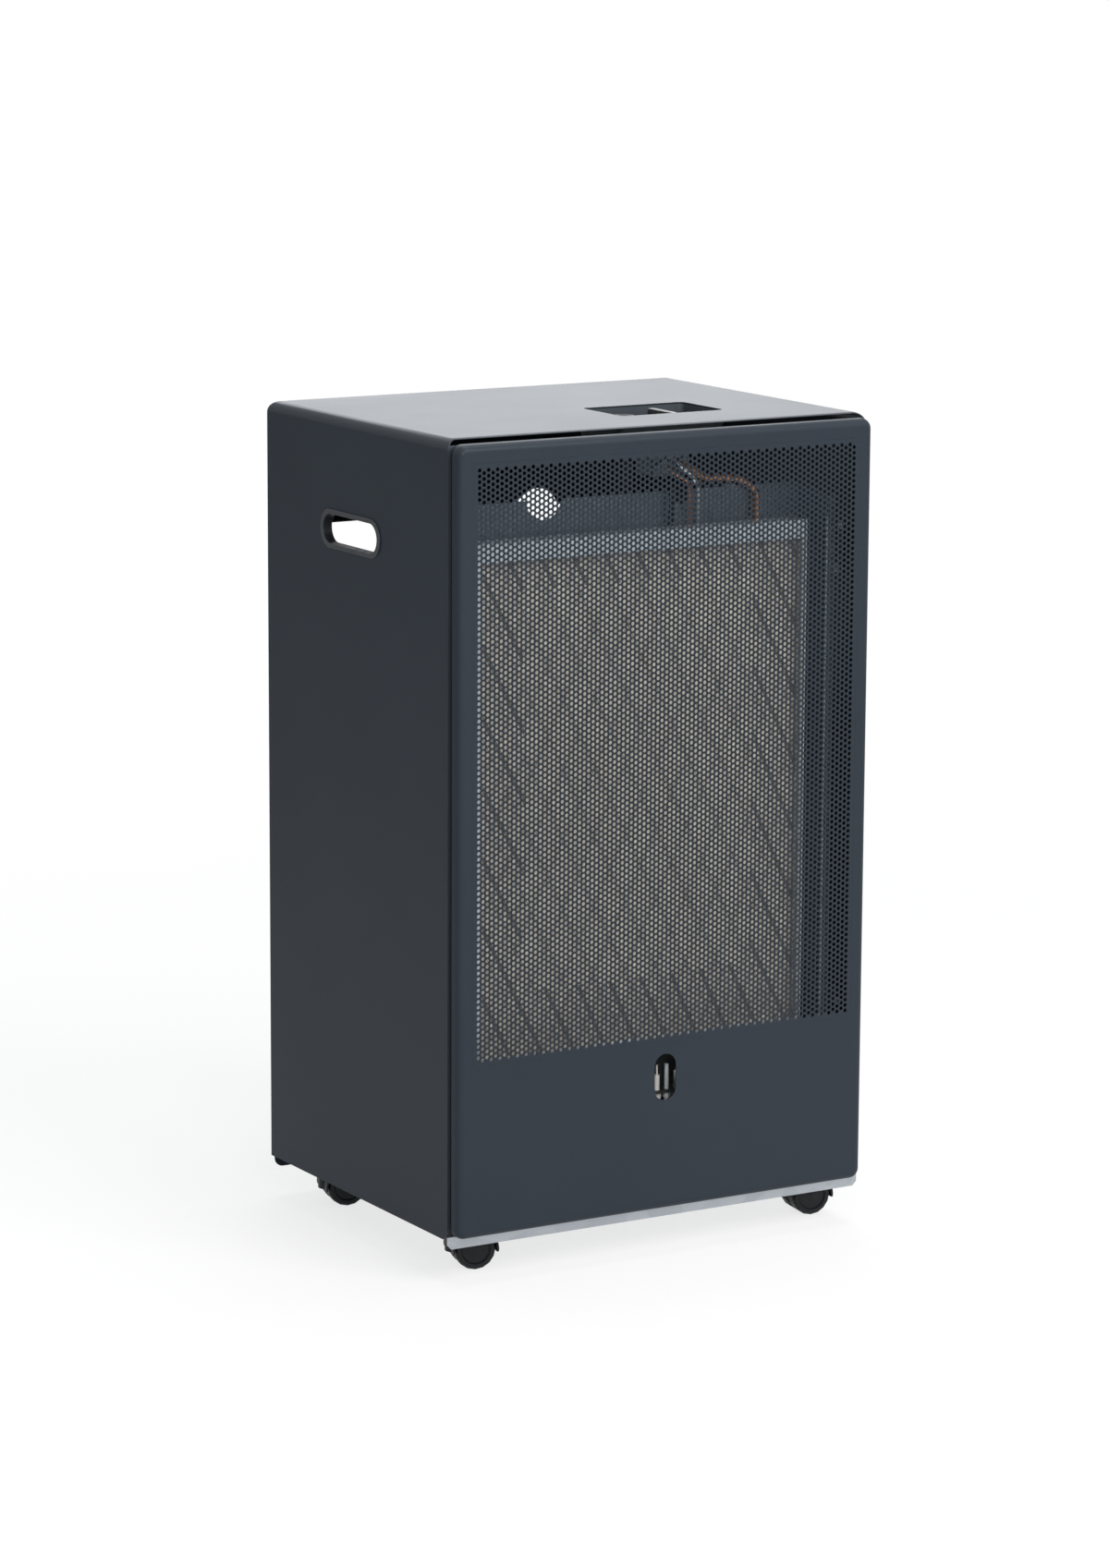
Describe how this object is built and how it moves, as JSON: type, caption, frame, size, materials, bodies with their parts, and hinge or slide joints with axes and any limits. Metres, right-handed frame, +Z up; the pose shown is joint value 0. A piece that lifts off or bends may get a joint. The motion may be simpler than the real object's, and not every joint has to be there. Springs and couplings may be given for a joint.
{
  "type": "portable gas cabinet heater",
  "caption": "Upright sheet-metal cabinet heater with a punched front grille, top controls, side grips, an open rear bottle bay and swivel casters.",
  "frame": {"origin": "centre of the bounding box at floor level", "axes": "+Z up, the punched front faces -Y, +X is to the right of someone who looks at the front"},
  "size_m": [0.4274, 0.351, 0.74],
  "materials": {
    "slate_paint": "satin powder coat",
    "galvanised": "bright zinc",
    "dark_steel": "dull",
    "black_plastic": "fine grain",
    "grey_plastic": "fine grain",
    "brass": "machined",
    "copper": "drawn tube",
    "aluminium": "die cast",
    "chrome": "bright plate",
    "ceramic": "unglazed",
    "catalyst": "felted fibre, coated",
    "wool": "felted fibre"
  },
  "bodies": {
    "cabinet": {"casing_wrap": "slate_paint", "front_panel": "slate_paint", "base_tray": "galvanised", "rear_top_panel": "slate_paint", "left_grip_insert": "black_plastic", "right_grip_insert": "black_plastic", "control_well": "grey_plastic", "valve_bracket": "galvanised", "gas_valve_body": "aluminium", "valve_nut": "brass", "hose_nozzle": "brass", "piezo_barrel": "black_plastic", "piezo_nut": "galvanised", "burner_frame": "galvanised", "burner_tray": "galvanised", "ceramic_blanket": "wool", "catalytic_pad": "catalyst", "wire_guard": "dark_steel", "burner_housing": "dark_steel", "housing_bracket_upper_left": "galvanised", "housing_bracket_lower_left": "galvanised", "housing_bracket_upper_right": "galvanised", "housing_bracket_lower_right": "galvanised", "burner_hanger_left": "galvanised", "burner_hanger_right": "galvanised", "burner_hanger_lower": "galvanised", "pilot_bracket": "chrome", "ignition_electrode": "ceramic", "thermocouple_probe": "copper", "pilot_burner": "brass", "injector_elbow": "brass", "burner_tube": "copper", "pilot_tube": "aluminium", "thermocouple_lead": "copper", "ignition_lead": "black_plastic", "caster_plate_front_left": "galvanised", "caster_plate_front_right": "galvanised", "caster_plate_rear_left": "galvanised", "caster_plate_rear_right": "galvanised"},
    "rear_cover": {"rear_cover": "slate_paint"},
    "thrust_collar": {"thrust_collar": "chrome"},
    "knob": {"control_knob": "black_plastic", "valve_spindle": "brass"},
    "igniter_button": {"piezo_button": "black_plastic"},
    "swivel_front_left": {"caster_hood_front_left": "black_plastic"},
    "wheels_front_left": {"caster_wheel_front_left_a": "black_plastic", "caster_wheel_front_left_b": "black_plastic", "caster_axle_front_left": "galvanised"},
    "swivel_front_right": {"caster_hood_front_right": "black_plastic"},
    "wheels_front_right": {"caster_wheel_front_right_a": "black_plastic", "caster_wheel_front_right_b": "black_plastic", "caster_axle_front_right": "galvanised"},
    "swivel_rear_left": {"caster_hood_rear_left": "black_plastic"},
    "wheels_rear_left": {"caster_wheel_rear_left_a": "black_plastic", "caster_wheel_rear_left_b": "black_plastic", "caster_axle_rear_left": "galvanised"},
    "swivel_rear_right": {"caster_hood_rear_right": "black_plastic"},
    "wheels_rear_right": {"caster_wheel_rear_right_a": "black_plastic", "caster_wheel_rear_right_b": "black_plastic", "caster_axle_rear_right": "galvanised"}
  },
  "joints": [
    {"name": "rear_cover_lift", "type": "slide", "parent": "cabinet", "child": "rear_cover", "axis": [0, 0, 1], "range_m": [0, 0.012]},
    {"name": "knob_push", "type": "slide", "parent": "cabinet", "child": "thrust_collar", "axis": [0, 0, -1], "range_m": [0, 0.004], "stiffness_N_per_m": 1500, "springref_m": -0.002},
    {"name": "knob_turn", "type": "hinge", "parent": "thrust_collar", "child": "knob", "pos_m": [0.0675, -0.0525, 0.732], "axis": [0, 0, 1], "range_deg": [0, 225]},
    {"name": "igniter_push", "type": "slide", "parent": "cabinet", "child": "igniter_button", "axis": [0, 0, -1], "range_m": [0, 0.006], "stiffness_N_per_m": 1200, "springref_m": -0.002},
    {"name": "front_left_swivel", "type": "hinge", "parent": "cabinet", "child": "swivel_front_left", "pos_m": [-0.1765, -0.1125, 0.0445], "axis": [0, 0, 1], "continuous": true},
    {"name": "front_left_spin", "type": "hinge", "parent": "swivel_front_left", "child": "wheels_front_left", "pos_m": [-0.16292, -0.11589, 0.0185], "axis": [-0.2419, -0.9703, 0], "continuous": true},
    {"name": "front_right_swivel", "type": "hinge", "parent": "cabinet", "child": "swivel_front_right", "pos_m": [0.1765, -0.1125, 0.0445], "axis": [0, 0, 1], "continuous": true},
    {"name": "front_right_spin", "type": "hinge", "parent": "swivel_front_right", "child": "wheels_front_right", "pos_m": [0.19036, -0.11445, 0.0185], "axis": [-0.1392, -0.9903, 0], "continuous": true},
    {"name": "rear_left_swivel", "type": "hinge", "parent": "cabinet", "child": "swivel_rear_left", "pos_m": [-0.1765, 0.1245, 0.0445], "axis": [0, 0, 1], "continuous": true},
    {"name": "rear_left_spin", "type": "hinge", "parent": "swivel_rear_left", "child": "wheels_rear_left", "pos_m": [-0.16281, 0.12159, 0.0185], "axis": [-0.2079, -0.9781, 0], "continuous": true},
    {"name": "rear_right_swivel", "type": "hinge", "parent": "cabinet", "child": "swivel_rear_right", "pos_m": [0.1765, 0.1245, 0.0445], "axis": [0, 0, 1], "continuous": true},
    {"name": "rear_right_spin", "type": "hinge", "parent": "swivel_rear_right", "child": "wheels_rear_right", "pos_m": [0.19045, 0.12328, 0.0185], "axis": [-0.0872, -0.9962, 0], "continuous": true}
  ]
}
